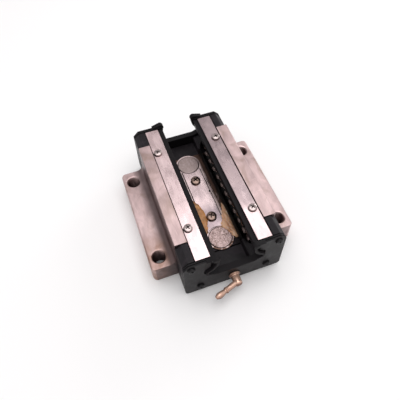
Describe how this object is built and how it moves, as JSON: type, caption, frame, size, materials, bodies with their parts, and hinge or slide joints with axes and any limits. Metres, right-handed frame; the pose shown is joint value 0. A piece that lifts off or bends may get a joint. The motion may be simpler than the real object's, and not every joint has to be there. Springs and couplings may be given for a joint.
{
  "type": "linear guide carriage",
  "caption": "Flanged ball carriage of a profile rail guide, channel side up, with steel bottom seals, black end caps, caged balls, tapped flange holes and an elbow grease nipple.",
  "frame": {"origin": "centre of the mounting face", "axes": "+Y along the rail, towards the end without the grease nipple; +Z away from the mounting face, towards the rail; +X across the rail"},
  "size_m": [0.096, 0.1253, 0.0391],
  "materials": {
    "block_steel": "ground, dull",
    "strip_steel": "rolled sheet, satin",
    "plate_steel": "rolled sheet, satin",
    "plug_steel": "turned face, dull",
    "screw_steel": "bright zinc",
    "black_steel": "black oxide, satin",
    "cap_plastic": "moulded, satin",
    "retainer_plastic": "moulded, oily",
    "seal_rubber": "matt",
    "ball_steel": "polished",
    "nipple_brass": "plated, worn"
  },
  "bodies": {
    "carriage": {"carriage_block": "block_steel", "inner_seal_plate": "plate_steel", "grease_nipple": "nipple_brass", "nipple_spring": "ball_steel", "port_screw_far": "black_steel", "end_cap_near": "cap_plastic", "end_seal_near": "seal_rubber", "end_cover_near": "black_steel", "floor_plug_near": "plug_steel", "inner_plate_screw_near": "screw_steel", "return_guide_near_left": "retainer_plastic", "bottom_seal_screw_left_near": "screw_steel", "end_screw_left_near_top": "black_steel", "end_screw_left_near_low": "black_steel", "turn_balls_left_floor_near": "ball_steel", "turn_balls_left_mouth_near": "ball_steel", "return_guide_near_right": "retainer_plastic", "bottom_seal_screw_right_near": "screw_steel", "end_screw_right_near_top": "black_steel", "end_screw_right_near_low": "black_steel", "turn_balls_right_floor_near": "ball_steel", "turn_balls_right_mouth_near": "ball_steel", "end_cap_far": "cap_plastic", "end_seal_far": "seal_rubber", "end_cover_far": "black_steel", "floor_plug_far": "plug_steel", "inner_plate_screw_far": "screw_steel", "return_guide_far_left": "retainer_plastic", "bottom_seal_screw_left_far": "screw_steel", "end_screw_left_far_top": "black_steel", "end_screw_left_far_low": "black_steel", "turn_balls_left_floor_far": "ball_steel", "turn_balls_left_mouth_far": "ball_steel", "return_guide_far_right": "retainer_plastic", "bottom_seal_screw_right_far": "screw_steel", "end_screw_right_far_top": "black_steel", "end_screw_right_far_low": "black_steel", "turn_balls_right_floor_far": "ball_steel", "turn_balls_right_mouth_far": "ball_steel", "bottom_seal_strip_left": "strip_steel", "bottom_seal_lip_left": "seal_rubber", "retainer_floor_left": "retainer_plastic", "retainer_middle_left": "retainer_plastic", "retainer_mouth_left": "retainer_plastic", "bottom_seal_strip_right": "strip_steel", "bottom_seal_lip_right": "seal_rubber", "retainer_floor_right": "retainer_plastic", "retainer_middle_right": "retainer_plastic", "retainer_mouth_right": "retainer_plastic"},
    "loaded_balls_left_floor": {"loaded_row_left_floor": "ball_steel"},
    "return_balls_left_floor": {"return_row_left_floor": "ball_steel"},
    "loaded_balls_left_mouth": {"loaded_row_left_mouth": "ball_steel"},
    "return_balls_left_mouth": {"return_row_left_mouth": "ball_steel"},
    "loaded_balls_right_floor": {"loaded_row_right_floor": "ball_steel"},
    "return_balls_right_floor": {"return_row_right_floor": "ball_steel"},
    "loaded_balls_right_mouth": {"loaded_row_right_mouth": "ball_steel"},
    "return_balls_right_mouth": {"return_row_right_mouth": "ball_steel"},
    "check_ball": {"nipple_check_ball": "ball_steel"}
  },
  "joints": [
    {"name": "loaded_run_left_floor", "type": "slide", "parent": "carriage", "child": "loaded_balls_left_floor", "axis": [0, 1, 0], "range_m": [-0.003, 0.003]},
    {"name": "return_run_left_floor", "type": "slide", "parent": "carriage", "child": "return_balls_left_floor", "axis": [0, 1, 0], "range_m": [-0.003, 0.003]},
    {"name": "loaded_run_left_mouth", "type": "slide", "parent": "carriage", "child": "loaded_balls_left_mouth", "axis": [0, 1, 0], "range_m": [-0.003, 0.003]},
    {"name": "return_run_left_mouth", "type": "slide", "parent": "carriage", "child": "return_balls_left_mouth", "axis": [0, 1, 0], "range_m": [-0.003, 0.003]},
    {"name": "loaded_run_right_floor", "type": "slide", "parent": "carriage", "child": "loaded_balls_right_floor", "axis": [0, 1, 0], "range_m": [-0.003, 0.003]},
    {"name": "return_run_right_floor", "type": "slide", "parent": "carriage", "child": "return_balls_right_floor", "axis": [0, 1, 0], "range_m": [-0.003, 0.003]},
    {"name": "loaded_run_right_mouth", "type": "slide", "parent": "carriage", "child": "loaded_balls_right_mouth", "axis": [0, 1, 0], "range_m": [-0.003, 0.003]},
    {"name": "return_run_right_mouth", "type": "slide", "parent": "carriage", "child": "return_balls_right_mouth", "axis": [0, 1, 0], "range_m": [-0.003, 0.003]},
    {"name": "check_ball_lift", "type": "slide", "parent": "carriage", "child": "check_ball", "axis": [0.9345, 0.342, -0.0982], "range_m": [0, 0.001], "stiffness_N_per_m": 200, "springref_m": -0.001, "deforming": ["nipple_spring"]}
  ],
  "couplings": [
    {"joint": "return_run_left_floor", "follows": "loaded_run_left_floor", "ratio": -1},
    {"joint": "return_run_left_mouth", "follows": "loaded_run_left_mouth", "ratio": -1},
    {"joint": "return_run_right_floor", "follows": "loaded_run_right_floor", "ratio": -1},
    {"joint": "return_run_right_mouth", "follows": "loaded_run_right_mouth", "ratio": -1}
  ]
}
